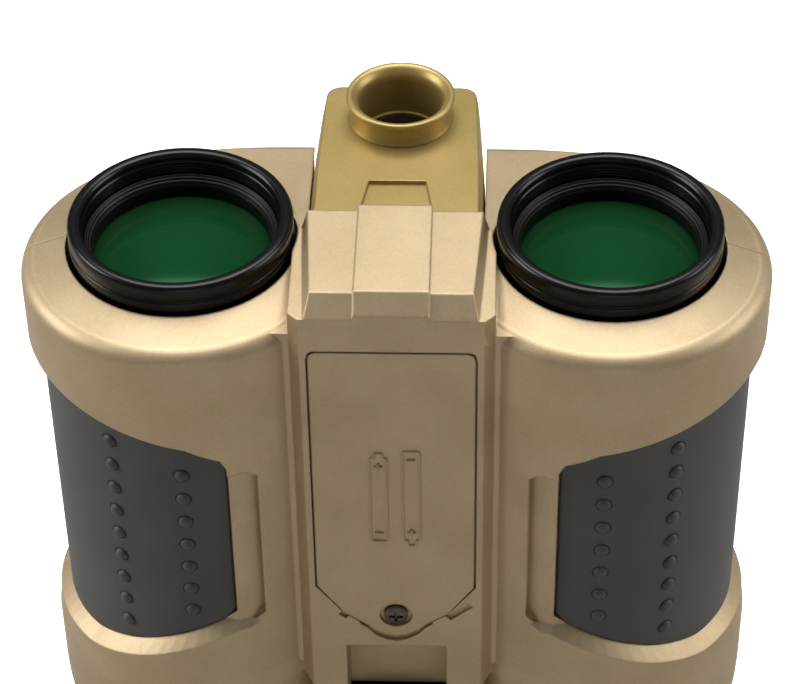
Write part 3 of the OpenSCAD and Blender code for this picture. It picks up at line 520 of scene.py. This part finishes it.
def white_sweep():
    """White paper: seen bright, but it throws little light back up at the object."""
    m = bpy.data.materials.new("white paper sweep")
    m.use_nodes = True
    t = m.node_tree
    t.nodes.clear()
    seen = add(t, "BsdfPrincipled", {"Base Color": linear("#f4f4f4"), "Roughness": 0.9,
                                     "Emission Color": (1, 1, 1, 1), "Emission Strength": 0.75})
    thrown = add(t, "BsdfDiffuse", {"Color": linear("#b4b2ae")})
    path = add(t, "LightPath")
    mix = add(t, "MixShader", None, Fac=(path, "Is Camera Ray"), _1=(thrown, "BSDF"), _2=(seen, "BSDF"))
    add(t, "OutputMaterial", None, Surface=(mix, "Shader"))
    return m


FLOOR_HALF = 3.0
floor = quad("floor", [(x * FLOOR_HALF, y * FLOOR_HALF, 0) for x, y in ((-1, -1), (1, -1), (1, 1), (-1, 1))],
             white_sweep())


def lamp(name, place, target, size, power, colour="#ffffff"):
    """A square soft box that faces its target."""
    data = bpy.data.lights.new(name, "AREA")
    data.shape = "RECTANGLE"
    data.size, data.size_y = size
    data.energy = power
    data.color = linear(colour)[:3]
    obj = bpy.data.objects.new(name, data)
    obj.location = place
    obj.rotation_euler = (Vector(target) - Vector(place)).to_track_quat("-Z", "Y").to_euler()
    bpy.context.scene.collection.objects.link(obj)
    return obj


lamp("top soft box", (0.0, 0.25, 0.95), (0, 0, 0.1), (0.8, 0.6), 8.1)
lamp("left soft box", (-0.9, 0.0, 0.55), (0, 0, 0.09), (0.5, 0.6), 5.6)
lamp("right soft box", (0.9, 0.05, 0.5), (0, 0, 0.09), (0.5, 0.6), 3.4)
lamp("front fill", (0.1, -1.0, 0.12), (0, 0, 0.04), (0.6, 0.3), 0.6)


def studio_world():
    """A white room: seen bright, but it lights the object softly."""
    world = bpy.data.worlds.new("studio")
    world.use_nodes = True
    t = world.node_tree
    t.nodes.clear()
    seen = add(t, "Background", {"Color": (1, 1, 1, 1), "Strength": 1.0})
    thrown = add(t, "Background", {"Color": (1, 1, 1, 1), "Strength": 0.13})
    path = add(t, "LightPath")
    mix = add(t, "MixShader", None, Fac=(path, "Is Camera Ray"), _1=(thrown, "Background"),
              _2=(seen, "Background"))
    add(t, "OutputWorld", None, Surface=(mix, "Shader"))
    return world


bpy.context.scene.world = studio_world()
bpy.context.scene.view_settings.view_transform = "Standard"

AZIMUTH, ELEVATION, ROLL = math.radians(2.37), math.radians(41.72), math.radians(-0.88)
ahead = Vector((-math.sin(AZIMUTH) * math.cos(ELEVATION), math.cos(AZIMUTH) * math.cos(ELEVATION),
                -math.sin(ELEVATION)))
right = Vector((math.cos(AZIMUTH), math.sin(AZIMUTH), 0))
up = right.cross(ahead)
side = math.cos(ROLL) * right + math.sin(ROLL) * up
top = -math.sin(ROLL) * right + math.cos(ROLL) * up
PLACE = Vector((0.01564, -0.37216, 0.43605))
camera_data = bpy.data.cameras.new("camera")
camera_data.sensor_width = 36.0
camera_data.lens = 127.07
camera = bpy.data.objects.new("camera", camera_data)
camera.matrix_world = Matrix(((side.x, top.x, -ahead.x, PLACE.x), (side.y, top.y, -ahead.y, PLACE.y),
                              (side.z, top.z, -ahead.z, PLACE.z), (0, 0, 0, 1)))
bpy.context.scene.collection.objects.link(camera)
bpy.context.scene.camera = camera
